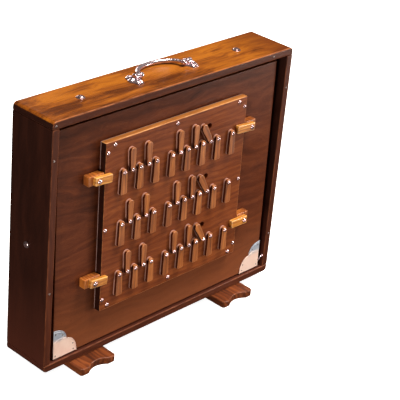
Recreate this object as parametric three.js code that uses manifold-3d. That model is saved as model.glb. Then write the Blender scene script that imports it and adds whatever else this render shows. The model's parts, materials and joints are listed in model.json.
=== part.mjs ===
// Three-octave shruti box: a hand-pumped reed drone. A fixed case carries a swinging handle and two
// swivel feet. Its front (reservoir) board is hinged at the bottom and carries the reed board,
// whose 39 air holes are closed by 39 turning levers. Its back (pump) board is hinged too.
// Millimetres, +Z up, front towards -Y, origin on the floor below the middle of the case.
import * as THREE from "three";
import { mergeVertices } from "three/addons/utils/BufferGeometryUtils.js";
import Module from "manifold-3d";

const DEG = Math.PI / 180;
const GAP = 0.3; // running and glue-line clearance between neighbouring pieces
const OVERLAP = 1; // how far solids that are joined into one run into each other
const SCREW_SIDES = 12;
const ARC_STEPS = 4; // facets in a quarter turn or a small arc
const DOME_PROFILE = [[1, 0], [0.8, 0.65], [0.4, 0.95]]; // shares of a dome's radius and height
const CREST_SHARE = 0.75; // a cubic curve's crest, as a share of its handles' height

// Case
const CASE_WIDTH = 400;
const CASE_HEIGHT = 330;
const CASE_DEPTH = 70;
const WALL = 10;
const CORNER_RADIUS = 6;
const CASE_BOTTOM = 10; // height of the case's underside above the floor
const CASE_TOP = CASE_BOTTOM + CASE_HEIGHT;
const CENTRE_BOARD_THICK = 10;
const CENTRE_BOARD_Y = 3;
const VALVE_HOLES = { radius: 11, places: [-110, 110], heights: [110, 240] };
const SIDE_SCREW_HEIGHT = 171;
const SCREW_HEAD_RADIUS = 4.5;
const SCREW_HEAD_HEIGHT = 2.4;

// Hinged boards: both have the same outline
const BOARD_WIDTH = 366;
const BOARD_THICK = 9;
const RESERVOIR_HEIGHT = 300.5;
const RESERVOIR_HINGE = { y: -22.2, z: 21.5 };
const RECLINE = 1.2 * DEG; // how far the closed reservoir board leans back
const PUMP_HEIGHT = 299;
const PUMP_HINGE = { y: 20.5, z: 24 };
const INTAKE_HOLES = { radius: 6.5, places: [-30, 0, 30], heights: [135, 165] };
const BELLOWS_INSET = 2; // from the boards' edges
const BELLOWS_FOLD = 14; // depth of the folds
const BELLOWS_FRONT = -15; // just clear of the leaning reservoir board

// Reed board, in the reservoir board's own frame
const REED_BOARD_WIDTH = 239;
const REED_BOARD_HEIGHT = 223.5;
const REED_BOARD_BASE = 47.3;
const REED_BOARD_THICK = 9.7;
const REED_BOARD_BACK = -BOARD_THICK - GAP;
const REED_BOARD_FACE = REED_BOARD_BACK - REED_BOARD_THICK;
const WINDOW_MARGIN = 16; // how far the reed board overlaps the window behind it
const AIR_HOLE_RADIUS = 4;
const AIR_HOLE_REACH = 19; // from a lever's pivot to its air hole

// Levers: 15 places at an even pitch, two of them empty, as on a keyboard
const LEVER_PITCH = 13.2;
const LEVER_FIRST_X = -92.4;
const LEVER_THICK = 5;
const LEVER_REACH = 28.5; // from the pivot to the far end
const SHARP_LEVER = { pivotRadius: 3.6, endRadius: 4.8 };
const NATURAL_LEVER = { pivotRadius: 4.4, endHalfWidth: 5.4, cornerRadius: 2 };
const OPEN_ANGLE = 30 * DEG;
const ROWS = { top: 228.1, middle: 159.7, bottom: 91.3 };
const NOTES = [
  { name: "c", place: 0 },
  { name: "c_sharp", place: 1, sharp: true },
  { name: "d", place: 2 },
  { name: "d_sharp", place: 3, sharp: true },
  { name: "e", place: 4 },
  { name: "f", place: 6 },
  { name: "f_sharp", place: 7, sharp: true },
  { name: "g", place: 8 },
  { name: "g_sharp", place: 9, sharp: true },
  { name: "a", place: 10 },
  { name: "a_sharp", place: 11, sharp: true, open: true },
  { name: "b", place: 12 },
  { name: "high_c", place: 14 },
];

// Turn buttons on glued blocks beside the reed board
const BUTTON_HEIGHT = 10.5;
const BUTTON_THICK = 5.5;
const BLOCK_INNER_X = 120.2;
const BLOCK_OUTER = 12; // how far a block reaches beyond its button's pivot
const BLOCK_BELOW = 6;
const LATCHES = {
  upper_left: { x: -132, z: 228.5, inner: 20.5, outer: 5.5, turn: 4 * DEG, blockAbove: 6 },
  upper_right: { x: 127.5, z: 228, inner: 25.7, outer: 5.5, turn: 4.6 * DEG, blockAbove: 6.8 },
  lower_left: { x: -132.5, z: 93.5, inner: 20, outer: 6.5, turn: 6 * DEG, blockAbove: 6 },
  lower_right: { x: 129, z: 94, inner: 23.4, outer: 5.5, turn: 1 * DEG, blockAbove: 8.5 },
};

// Corner plates, handle and feet
const PLATE_THICK = 0.8;
const PLATE_WIDTH = 36.5;
const PLATE_HEIGHT = 39;
const PLATE_NOTCH = { x: 20, z: 22.5 };
const PLATE_UPPER_CURVE = { out: 0.55, up: 0.85 }; // shares of the notch's x and the plate's height
const PLATE_LOWER_CURVE = { out: 1.45, up: 0.6 }; // shares of the notch's x and z
const PLATE_STEPS = 6;
const HANDLE_HALF_SPAN = 35.5; // from the middle to each end of the bail
const HANDLE_PIVOT_HEIGHT = 5; // above the case's top
const HANDLE_DEPTH = 23; // from the pivots to the bail's crest
const HANDLE_FLARE = 4; // how far each arm leans inwards
const HANDLE_BAR_RADIUS = 3;
const HANDLE_EYE_RADIUS = 3.4;
const HANDLE_STEPS = { along: 18, round: 5, eyeRound: 12, eyeHigh: 8, plate: 16, barrel: 12 };
const HANDLE_DROOP = 4 * DEG; // the bail lies this far below level, its crest just clear of the case
const HANDLE_PLATE_X = 46;
const HANDLE_PLATE = { halfWidth: 9, halfLength: 13.5, height: 4.5 };
const BARREL = { radius: 4.2, inner: 39.4, outer: 48 };
const FOOT_X = { left: -130.5, right: 119.5 };
const FOOT_WIDTH = 56;
const FOOT_HALF_LENGTH = 57.5;
const FOOT_THICK = CASE_BOTTOM - GAP;
const FOOT_SCALLOP = 6;
const FOOT_LOBE = 12;
const FOOT_CORNER = 4;
const FOOT_STEPS = 5;

const wasm = await Module();
wasm.setup();

const finish = (color, roughness, metalness = 0) =>
  new THREE.MeshStandardMaterial({ color, roughness, metalness });
const MATERIALS = {
  teak: finish(0x7a4320, 0.35),
  walnut: finish(0x5a3220, 0.3),
  reedBoard: finish(0x7c4224, 0.35),
  lever: finish(0x8a5a30, 0.45),
  latch: finish(0xd29a3c, 0.4),
  chrome: finish(0xd8d8dc, 0.12, 1),
  nickel: finish(0xd8c8c0, 0.25, 1),
  leather: finish(0x1a1412, 0.8),
};

// ---- geometry helpers -------------------------------------------------------------------

function solidFrom(geometry) {
  const bare = geometry.index ? geometry.toNonIndexed() : geometry.clone();
  bare.deleteAttribute("normal");
  bare.deleteAttribute("uv");
  const merged = mergeVertices(bare, 1e-4);
  return new wasm.Manifold(
    new wasm.Mesh({
      numProp: 3,
      vertProperties: new Float32Array(merged.attributes.position.array),
      triVerts: new Uint32Array(merged.index.array),
    }),
  );
}

function geometryFrom(solid) {
  const mesh = solid.getMesh();
  const geometry = new THREE.BufferGeometry();
  geometry.setAttribute("position", new THREE.BufferAttribute(mesh.vertProperties, 3));
  geometry.setIndex(new THREE.BufferAttribute(mesh.triVerts, 1));
  return geometry;
}

const joined = (...geometries) =>
  geometryFrom(geometries.map(solidFrom).reduce((whole, next) => whole.add(next)));

// A shape drawn in X and Z, standing upright: its back is at y = 0, its front at y = -depth.
function upright(shape, depth, curveSegments = ARC_STEPS) {
  const options = { depth, bevelEnabled: false, curveSegments };
  return new THREE.ExtrudeGeometry(shape, options).rotateX(90 * DEG);
}

function rectangle(left, low, right, high) {
  return new THREE.Shape([
    new THREE.Vector2(left, low),
    new THREE.Vector2(right, low),
    new THREE.Vector2(right, high),
    new THREE.Vector2(left, high),
  ]);
}

function roundHole(x, z, radius) {
  return new THREE.Path().absarc(x, z, radius, 0, 2 * Math.PI, true);
}

// Adds round holes at every combination of the given places and heights.
function pushHoles(shape, { radius, places, heights }) {
  for (const x of places) {
    for (const z of heights) shape.holes.push(roundHole(x, z, radius));
  }
}

// A low dome on the XY plane, its flat side down.
function dome(radius, height, sides = SCREW_SIDES) {
  const points = DOME_PROFILE.map(([out, up]) => new THREE.Vector2(radius * out, height * up));
  const profile = [new THREE.Vector2(0, 0), ...points, new THREE.Vector2(0, height)];
  return new THREE.LatheGeometry(profile, sides).rotateX(90 * DEG);
}

function piece(name, geometry, material, parent) {
  const mesh = new THREE.Mesh(geometry, material);
  mesh.name = name;
  parent.add(mesh);
  return mesh;
}

// ---- case -------------------------------------------------------------------------------

// The top and bottom boards run over the sides and have rounded outer corners.
function capBoard() {
  const half = CASE_WIDTH / 2;
  const shape = new THREE.Shape();
  shape.moveTo(-half, 0);
  shape.lineTo(half, 0);
  shape.lineTo(half, WALL - CORNER_RADIUS);
  shape.absarc(half - CORNER_RADIUS, WALL - CORNER_RADIUS, CORNER_RADIUS, 0, 90 * DEG);
  shape.absarc(CORNER_RADIUS - half, WALL - CORNER_RADIUS, CORNER_RADIUS, 90 * DEG, Math.PI);
  shape.closePath();
  return upright(shape, CASE_DEPTH);
}

// A side board with the head of its case screw. The outer face looks towards +X.
function sideBoard() {
  const high = CASE_HEIGHT - 2 * WALL;
  const board = upright(rectangle(-WALL, 0, 0, high), CASE_DEPTH);
  const head = dome(SCREW_HEAD_RADIUS, SCREW_HEAD_HEIGHT + OVERLAP).rotateY(90 * DEG);
  const screwZ = SIDE_SCREW_HEIGHT - CASE_BOTTOM - WALL;
  head.translate(-OVERLAP, CENTRE_BOARD_Y - CASE_DEPTH / 2, screwZ);
  return joined(board, head);
}

function addCase(parent) {
  const back = CASE_DEPTH / 2;
  const top = piece("top_board", capBoard(), MATERIALS.teak, parent);
  top.position.set(0, back, CASE_TOP - WALL);
  const bottom = piece("bottom_board", capBoard(), MATERIALS.teak, parent);
  bottom.position.set(0, -back, CASE_BOTTOM + WALL);
  bottom.rotation.x = Math.PI;

  const right = piece("right_side", sideBoard(), MATERIALS.teak, parent);
  right.position.set(CASE_WIDTH / 2, back, CASE_BOTTOM + WALL);
  const left = piece("left_side", sideBoard(), MATERIALS.teak, parent);
  left.position.set(-CASE_WIDTH / 2, back, CASE_BOTTOM + WALL);
  left.scale.x = -1;

  const inner = CASE_WIDTH / 2 - WALL;
  const partition = rectangle(-inner, CASE_BOTTOM + WALL, inner, CASE_TOP - WALL);
  pushHoles(partition, VALVE_HOLES);
  const board = piece("centre_board", upright(partition, CENTRE_BOARD_THICK), MATERIALS.walnut, parent);
  board.position.y = CENTRE_BOARD_Y + CENTRE_BOARD_THICK / 2;
}

// ---- handle and feet --------------------------------------------------------------------

// The bail lies back on the case: a bent round bar with an eye at each end.
function handleBar() {
  const reach = HANDLE_DEPTH / CREST_SHARE;
  const arm = HANDLE_HALF_SPAN - HANDLE_FLARE;
  const path = new THREE.CubicBezierCurve3(
    new THREE.Vector3(-HANDLE_HALF_SPAN, 0, 0),
    new THREE.Vector3(-arm, reach, 0),
    new THREE.Vector3(arm, reach, 0),
    new THREE.Vector3(HANDLE_HALF_SPAN, 0, 0),
  );
  const section = new THREE.Shape().absarc(0, 0, HANDLE_BAR_RADIUS, 0, 2 * Math.PI);
  const bar = new THREE.ExtrudeGeometry(section, {
    steps: HANDLE_STEPS.along,
    curveSegments: HANDLE_STEPS.round,
    extrudePath: path,
  });
  const eyes = [-1, 1].map((sign) => {
    const eye = new THREE.SphereGeometry(HANDLE_EYE_RADIUS, HANDLE_STEPS.eyeRound, HANDLE_STEPS.eyeHigh);
    return eye.translate(sign * HANDLE_HALF_SPAN, 0, 0);
  });
  return joined(bar, ...eyes);
}

// An oval domed plate with the barrel that carries one end of the bail. The plate faces +X outwards.
function handlePlate() {
  const { halfWidth, halfLength, height } = HANDLE_PLATE;
  const oval = dome(1, 1, HANDLE_STEPS.plate).scale(halfWidth, halfLength, height);
  const length = BARREL.outer - BARREL.inner;
  const { radius } = BARREL;
  const barrel = new THREE.CylinderGeometry(radius, radius, length, HANDLE_STEPS.barrel);
  barrel.rotateZ(90 * DEG);
  barrel.translate((BARREL.inner + BARREL.outer) / 2 - HANDLE_PLATE_X, 0, HANDLE_PIVOT_HEIGHT);
  return joined(oval, barrel);
}

function addHandle(parent) {
  const bail = piece("handle_bar", handleBar(), MATERIALS.chrome, parent);
  bail.position.z = CASE_TOP + HANDLE_PIVOT_HEIGHT;
  bail.rotation.x = -HANDLE_DROOP;
  const sides = { left: -1, right: 1 };
  for (const [side, sign] of Object.entries(sides)) {
    const mesh = piece(`handle_plate_${side}`, handlePlate(), MATERIALS.chrome, parent);
    mesh.position.set(sign * HANDLE_PLATE_X, 0, CASE_TOP);
    mesh.scale.x = sign;
  }
}

// A flat foot seen in plan: rounded lobes at its corners, with a shallow scallop between them.
function footShape() {
  const half = FOOT_WIDTH / 2;
  const end = FOOT_HALF_LENGTH;
  const corner = FOOT_CORNER;
  const shape = new THREE.Shape();
  for (const sign of [-1, 1]) {
    const arcX = sign * (half - corner);
    const arcY = sign * (end - corner);
    const turn = sign < 0 ? Math.PI : 0;
    const lobeX = sign * (half - FOOT_LOBE);
    shape.absarc(arcX, arcY, corner, turn, turn + 90 * DEG);
    shape.lineTo(lobeX, sign * end);
    shape.quadraticCurveTo(0, sign * (end - 2 * FOOT_SCALLOP), -lobeX, sign * end);
    shape.absarc(-arcX, arcY, corner, turn + 90 * DEG, turn + 180 * DEG);
  }
  shape.closePath();
  return shape;
}

function addFeet(parent) {
  const options = { depth: FOOT_THICK, bevelEnabled: false, curveSegments: FOOT_STEPS };
  for (const [side, x] of Object.entries(FOOT_X)) {
    const foot = new THREE.ExtrudeGeometry(footShape(), options);
    piece(`foot_${side}`, foot, MATERIALS.teak, parent).position.x = x;
  }
}

// ---- reservoir board and what it carries ------------------------------------------------

const leverX = (note) => LEVER_FIRST_X + note.place * LEVER_PITCH;
const leverSign = (note) => (note.sharp ? 1 : -1);

// The board has a window behind the reed board, and the latch blocks are glued on its face.
function frontBoard() {
  const half = BOARD_WIDTH / 2;
  const shape = rectangle(-half, 0, half, RESERVOIR_HEIGHT);
  const windowX = REED_BOARD_WIDTH / 2 - WINDOW_MARGIN;
  const windowLow = REED_BOARD_BASE + WINDOW_MARGIN;
  const windowHigh = REED_BOARD_BASE + REED_BOARD_HEIGHT - WINDOW_MARGIN;
  shape.holes.push(rectangle(-windowX, windowLow, windowX, windowHigh));
  const blocks = Object.values(LATCHES).map(({ x, z, blockAbove }) => {
    const side = Math.sign(x);
    const ends = [side * BLOCK_INNER_X, x + side * BLOCK_OUTER].sort((a, b) => a - b);
    const outline = rectangle(ends[0], z - BLOCK_BELOW, ends[1], z + blockAbove);
    const block = upright(outline, -REED_BOARD_FACE - OVERLAP);
    return block.translate(0, -OVERLAP, 0);
  });
  return joined(upright(shape, BOARD_THICK), ...blocks);
}

function reedBoard() {
  const half = REED_BOARD_WIDTH / 2;
  const shape = rectangle(-half, REED_BOARD_BASE, half, REED_BOARD_BASE + REED_BOARD_HEIGHT);
  for (const rowZ of Object.values(ROWS)) {
    for (const note of NOTES) {
      const holeZ = rowZ + leverSign(note) * AIR_HOLE_REACH;
      shape.holes.push(roundHole(leverX(note), holeZ, AIR_HOLE_RADIUS));
    }
  }
  return upright(shape, REED_BOARD_THICK);
}

// A sharp's lever points up from its pivot and widens towards its round end.
function sharpLever() {
  const { pivotRadius, endRadius } = SHARP_LEVER;
  const shape = new THREE.Shape();
  shape.absarc(0, LEVER_REACH - endRadius, endRadius, 0, Math.PI);
  shape.absarc(0, 0, pivotRadius, Math.PI, 2 * Math.PI);
  shape.closePath();
  return upright(shape, LEVER_THICK);
}

// A natural's lever points down from its round pivot end and widens towards its square end.
function naturalLever() {
  const { pivotRadius, endHalfWidth, cornerRadius } = NATURAL_LEVER;
  const cornerX = endHalfWidth - cornerRadius;
  const cornerZ = cornerRadius - LEVER_REACH;
  const shape = new THREE.Shape();
  shape.absarc(0, 0, pivotRadius, 0, Math.PI);
  shape.absarc(-cornerX, cornerZ, cornerRadius, Math.PI, 1.5 * Math.PI);
  shape.absarc(cornerX, cornerZ, cornerRadius, 1.5 * Math.PI, 2 * Math.PI);
  shape.closePath();
  return upright(shape, LEVER_THICK);
}

function addLevers(parent) {
  for (const [row, rowZ] of Object.entries(ROWS)) {
    for (const note of NOTES) {
      const name = `lever_${row}_${note.name}`;
      const lever = note.sharp ? sharpLever() : naturalLever();
      const mesh = piece(name, lever, MATERIALS.lever, parent);
      mesh.position.set(leverX(note), REED_BOARD_FACE - GAP, rowZ);
      if (note.open) mesh.rotation.y = -OPEN_ANGLE;
    }
  }
}

function addButtons(parent) {
  for (const [place, { x, z, inner, outer, turn }] of Object.entries(LATCHES)) {
    const left = x < 0 ? -outer : -inner;
    const right = x < 0 ? inner : outer;
    const outline = rectangle(left, -BUTTON_HEIGHT / 2, right, BUTTON_HEIGHT / 2);
    const name = `turn_button_${place}`;
    const mesh = piece(name, upright(outline, BUTTON_THICK), MATERIALS.latch, parent);
    mesh.position.set(x, REED_BOARD_FACE - GAP, z);
    mesh.rotation.y = turn;
  }
}

// A sheet-metal plate for the board's lower right corner: two lobes that meet in a notch.
function cornerPlate() {
  const { x, z } = PLATE_NOTCH;
  const shape = new THREE.Shape();
  shape.moveTo(0, 0);
  shape.lineTo(0, PLATE_HEIGHT);
  const upper = PLATE_UPPER_CURVE;
  const lower = PLATE_LOWER_CURVE;
  shape.bezierCurveTo(-upper.out * x, PLATE_HEIGHT, -x, upper.up * PLATE_HEIGHT, -x, z);
  shape.bezierCurveTo(-lower.out * x, z, -PLATE_WIDTH, lower.up * z, -PLATE_WIDTH, 0);
  shape.closePath();
  return upright(shape, PLATE_THICK, PLATE_STEPS);
}

function addReservoir(parent) {
  const board = new THREE.Group();
  board.position.set(0, RESERVOIR_HINGE.y, RESERVOIR_HINGE.z);
  board.rotation.x = -RECLINE;
  parent.add(board);
  piece("front_board", frontBoard(), MATERIALS.walnut, board);
  piece("reed_board", reedBoard(), MATERIALS.reedBoard, board).position.y = REED_BOARD_BACK;
  addLevers(board);
  addButtons(board);
  const sides = { left: -1, right: 1 };
  for (const [side, sign] of Object.entries(sides)) {
    const plate = piece(`corner_plate_${side}`, cornerPlate(), MATERIALS.nickel, board);
    plate.position.set(sign * (BOARD_WIDTH / 2), -BOARD_THICK - GAP, 0);
    plate.scale.x = sign;
  }
}

// ---- pump board and bellows -------------------------------------------------------------

function addPump(parent) {
  const half = BOARD_WIDTH / 2;
  const shape = rectangle(-half, 0, half, PUMP_HEIGHT);
  pushHoles(shape, INTAKE_HOLES);
  const board = piece("pump_board", upright(shape, BOARD_THICK), MATERIALS.walnut, parent);
  board.position.set(0, PUMP_HINGE.y + BOARD_THICK, PUMP_HINGE.z);
}

// Folded bellows: a closed rectangular ring that follows the boards' edges.
function bellows(name, front, back, parent) {
  const outer = BOARD_WIDTH / 2 - BELLOWS_INSET;
  const inner = outer - BELLOWS_FOLD;
  const low = PUMP_HINGE.z + BELLOWS_INSET;
  const high = PUMP_HINGE.z + PUMP_HEIGHT - 2 * BELLOWS_INSET;
  const ring = rectangle(-outer, low, outer, high);
  ring.holes.push(rectangle(-inner, low + BELLOWS_FOLD, inner, high - BELLOWS_FOLD));
  piece(name, upright(ring, back - front), MATERIALS.leather, parent).position.y = back;
}

// ---- the whole object -------------------------------------------------------------------

const shrutiBox = new THREE.Group();
addCase(shrutiBox);
addHandle(shrutiBox);
addFeet(shrutiBox);
addReservoir(shrutiBox);
addPump(shrutiBox);
const partitionFront = CENTRE_BOARD_Y - CENTRE_BOARD_THICK / 2;
const partitionBack = CENTRE_BOARD_Y + CENTRE_BOARD_THICK / 2;
bellows("reservoir_bellows", BELLOWS_FRONT, partitionFront - GAP, shrutiBox);
bellows("pump_bellows", partitionBack + GAP, PUMP_HINGE.y - GAP, shrutiBox);

export default shrutiBox;
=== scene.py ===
"""A three-octave shruti box: the finished look of each piece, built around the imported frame.

Metres, +Z up, front towards -Y. Shapes are drawn in millimetres and scaled when they are placed.
"""

import json
import math
import random

import bmesh
import bpy
import numpy as np
from mathutils import Matrix, Vector


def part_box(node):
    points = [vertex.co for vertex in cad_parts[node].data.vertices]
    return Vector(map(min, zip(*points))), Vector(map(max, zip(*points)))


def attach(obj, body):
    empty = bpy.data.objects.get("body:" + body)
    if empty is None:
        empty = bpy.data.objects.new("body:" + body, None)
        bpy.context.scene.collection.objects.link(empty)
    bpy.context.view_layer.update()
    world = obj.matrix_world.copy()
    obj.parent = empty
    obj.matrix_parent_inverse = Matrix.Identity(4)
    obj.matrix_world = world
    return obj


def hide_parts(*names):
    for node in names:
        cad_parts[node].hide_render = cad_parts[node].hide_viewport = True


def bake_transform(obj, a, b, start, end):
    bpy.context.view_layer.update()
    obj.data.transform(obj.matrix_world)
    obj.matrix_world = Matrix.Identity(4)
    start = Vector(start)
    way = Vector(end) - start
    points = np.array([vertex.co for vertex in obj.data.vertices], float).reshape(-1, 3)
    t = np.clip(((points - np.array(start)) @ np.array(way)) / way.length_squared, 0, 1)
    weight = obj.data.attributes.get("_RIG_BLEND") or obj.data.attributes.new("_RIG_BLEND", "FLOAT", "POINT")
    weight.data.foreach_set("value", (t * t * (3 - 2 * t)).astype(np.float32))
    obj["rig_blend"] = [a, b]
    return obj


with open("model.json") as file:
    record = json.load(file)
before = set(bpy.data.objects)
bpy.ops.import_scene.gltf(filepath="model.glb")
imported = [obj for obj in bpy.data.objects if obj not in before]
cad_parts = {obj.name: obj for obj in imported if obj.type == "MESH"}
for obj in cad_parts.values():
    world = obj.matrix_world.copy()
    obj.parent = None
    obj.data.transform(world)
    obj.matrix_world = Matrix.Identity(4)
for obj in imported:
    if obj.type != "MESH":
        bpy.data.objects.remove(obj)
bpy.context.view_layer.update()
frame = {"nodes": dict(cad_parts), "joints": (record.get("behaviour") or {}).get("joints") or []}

MM = 0.001
SCENE = bpy.context.scene
NODES = sorted(frame["nodes"])
PIVOTS = {joint["child"]: Vector(joint["pos_m"]) for joint in frame["joints"]}


def box_mm(node):
    """Lowest and highest corner of a CAD node, in millimetres."""
    low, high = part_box(node)
    return Vector(low) / MM, Vector(high) / MM


def moved(x=0.0, y=0.0, z=0.0):
    return Matrix.Translation((x, y, z))


def turned(degrees, axis):
    return Matrix.Rotation(math.radians(degrees), 4, axis)


# ---- dimensions, millimetres ----

SIDES = (("left", -1), ("right", 1))
GAP = 0.3
WALL = 10.0
CORNER_RADIUS = 6.0
CASE_LOW = box_mm("bottom_board")[0]
CASE_HIGH = box_mm("top_board")[1]
CASE_HALF = CASE_HIGH.x
FRONT_Y, BACK_Y = CASE_LOW.y, CASE_HIGH.y
TOP_SCREWS = (-130, 130)
SIDE_SCREW_Z = 171
CASE_NAILS = ((4 - CASE_HALF, 292), (5 - CASE_HALF, 120), (CASE_HALF - 5, 285), (CASE_HALF - 5, 70),
              (163, CASE_HIGH.z - 5), (5 - CASE_HALF, CASE_HIGH.z - 5.5))
CENTRE_BOARD_Y = 3.0
CENTRE_BOARD_HALF = 5.0
CENTRE_FRONT, CENTRE_BACK = CENTRE_BOARD_Y - CENTRE_BOARD_HALF, CENTRE_BOARD_Y + CENTRE_BOARD_HALF
VALVE_RADIUS = 11.0
VALVE_PLACES = [(x, z) for x in (-110, 110) for z in (110, 240)]
INTAKE_RADIUS = 6.5
INTAKE_PLACES = [(x, z) for x in (-30, 0, 30) for z in (135, 165)]

RECLINE = 1.2  # this and the other turns are in degrees
HINGE = PIVOTS["reservoir"] / MM
PUMP_HINGE = PIVOTS["pump"] / MM
BOARD_HALF = 183.0
BOARD_THICK = 9.0
RESERVOIR_HEIGHT = 300.5
PUMP_HEIGHT = 299.0

REED_HALF = 119.5
REED_BASE = 47.3
REED_HEIGHT = 223.5
REED_BACK = -BOARD_THICK - GAP
REED_THICK = 9.7
REED_FACE = REED_BACK - REED_THICK
REED_FOOT = REED_BACK - 0.9  # behind it lies the gasket
PANEL_SCREWS = ((-105, 266), (105, 266), (-115.5, 257.5), (115.5, 257.5), (-3.5, 265.6), (-115.2, 156.9),
                (115.2, 156.9), (-116, 62.5), (116, 62.5), (-107, 52.8), (107, 52.8), (-3.5, 53.9))
WINDOW_MARGIN = 16.0
AIR_HOLE_RADIUS = 4.0
AIR_HOLE_REACH = 19.0

LEVER_THICK = 5.0
LEVER_REACH = 28.5
SHARP_PIVOT_RADIUS, SHARP_END_RADIUS = 3.5, 4.7
NATURAL_PIVOT_RADIUS, NATURAL_END_HALF, NATURAL_CORNER = 4.3, 5.3, 2.0
OPEN_ANGLE = 30
PAD_THICK = 1.4

BUTTON_THICK = 5.5
BUTTON_HALF_HEIGHT = 5.25
BLOCK_INNER = 120.2
BLOCK_OUTER = 12.0
BLOCK_BELOW = 6.0
LATCHES = {  # a button's reach inwards and outwards, its turn, and its block's reach above it
    "upper_left": (20.5, 5.5, 4, 6.0),
    "upper_right": (25.7, 5.5, 4.6, 6.8),
    "lower_left": (20.0, 6.5, 6, 6.0),
    "lower_right": (23.4, 5.5, 1, 8.5),
}

PLATE_WIDTH, PLATE_HEIGHT, PLATE_THICK = 36.5, 39.0, 0.8
PLATE_NOTCH_X, PLATE_NOTCH_Z = 20.0, 22.5
PLATE_NAILS = ((3.5, 34), (3.5, 4), (32, 3.5), (14, 30), (31, 12))

HANDLE_HALF_SPAN = 35.5
HANDLE_DEPTH = 23.0
HANDLE_FLARE = 4.0
HANDLE_DROOP = 4
HANDLE_PIVOT = PIVOTS["handle"] / MM
HANDLE_PLATE_X = 46.0
BARREL_RADIUS, BARREL_INNER, BARREL_OUTER = 4.1, 39.5, 47.5

# The reservoir board's own frame: x across, y out of its back, z up along it.
BOARD = moved(*HINGE) @ turned(-RECLINE, "X")
IDENTITY = Matrix.Identity(4)
SHARP_ANGLE = math.radians(35)  # edges sharper than this are rounded
SHADING_ANGLE = math.radians(50)  # and sharper than this stay crisp in shading
GRAIN_SHIFT = (3, 0.012, 0.012)  # metres along, across and into the tree, so that no two boards match
DRILL_REACH = 20.0


# ---- shader graphs ----


def srgb(red, green, blue):
    """Linear colour from 0-255 sRGB values."""
    def channel(value):
        value /= 255
        return value / 12.92 if value <= 0.04045 else ((value + 0.055) / 1.055) ** 2.4
    return (channel(red), channel(green), channel(blue), 1.0)


class Graph:
    """A material and short calls that add its nodes."""

    def __init__(self, name):
        self.material = bpy.data.materials.new(name)
        self.material.use_nodes = True
        self.tree = self.material.node_tree
        self.tree.nodes.clear()
        self.output = self.add("OutputMaterial")

    def add(self, kind, inputs=None, **settings):
        made = self.tree.nodes.new("ShaderNode" + kind)
        for key, value in settings.items():
            setattr(made, key, value)
        for key, value in (inputs or {}).items():
            if isinstance(value, bpy.types.NodeSocket):
                self.tree.links.new(value, made.inputs[key])
            else:
                made.inputs[key].default_value = value
        return made

    def attribute(self, name, output="Vector"):
        return self.add("Attribute", attribute_name=name).outputs[output]

    def scaled(self, vector, scale, location=(0, 0, 0)):
        inputs = {"Vector": vector, "Scale": scale, "Location": location}
        return self.add("Mapping", inputs).outputs["Vector"]

    def place(self):
        """Metres in the object's own frame, which is the shared frame."""
        return self.add("TexCoord").outputs["Object"]

    def noise(self, vector, detail=2.0, rough=0.5, output="Fac"):
        inputs = {"Vector": vector, "Scale": 1.0, "Detail": detail, "Roughness": rough}
        return self.add("TexNoise", inputs).outputs[output]

    def math(self, operation, first, second):
        return self.add("Math", {0: first, 1: second}, operation=operation).outputs[0]

    def vector(self, operation, first, second):
        return self.add("VectorMath", {0: first, 1: second}, operation=operation).outputs[0]

    def span(self, value, low, high, to_low=0.0, to_high=1.0):
        inputs = {"Value": value, "From Min": low, "From Max": high, "To Min": to_low, "To Max": to_high}
        return self.add("MapRange", inputs).outputs["Result"]

    def mix(self, factor, first, second):
        made = self.add("Mix", data_type="RGBA")
        for socket, value in zip((made.inputs[0], made.inputs[6], made.inputs[7]), (factor, first, second)):
            if isinstance(value, bpy.types.NodeSocket):
                self.tree.links.new(value, socket)
            else:
                socket.default_value = value
        return made.outputs[2]

    def ramp(self, factor, stops):
        made = self.add("ValToRGB", {"Fac": factor})
        elements = made.color_ramp.elements
        while len(elements) < len(stops):
            elements.new(0.5)
        for element, (place, colour) in zip(elements, stops):
            element.position = place
            element.color = colour
        return made.outputs["Color"]

    def bump(self, height, strength, distance):
        inputs = {"Height": height, "Strength": strength, "Distance": distance}
        return self.add("Bump", inputs).outputs["Normal"]

    def swing(self, source, amount):
        return self.math("MULTIPLY", self.math("SUBTRACT", source, 0.5), amount)

    def uneven(self, axis, source, amount):
        """X or Z in the shared frame, pushed up and down by a pattern."""
        place = self.add("SeparateXYZ", {"Vector": self.place()}).outputs[axis]
        return self.math("ADD", place, self.swing(source, amount))

    def surface(self, colour, roughness, normal, **fixed):
        inputs = {"Base Color": colour, "Roughness": roughness, "Normal": normal}
        shader = self.add("BsdfPrincipled", inputs)
        for key, value in fixed.items():
            shader.inputs[key.replace("_", " ").title().replace("Ior", "IOR")].default_value = value
        self.tree.links.new(shader.outputs["BSDF"], self.output.inputs["Surface"])
        return self.material


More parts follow.
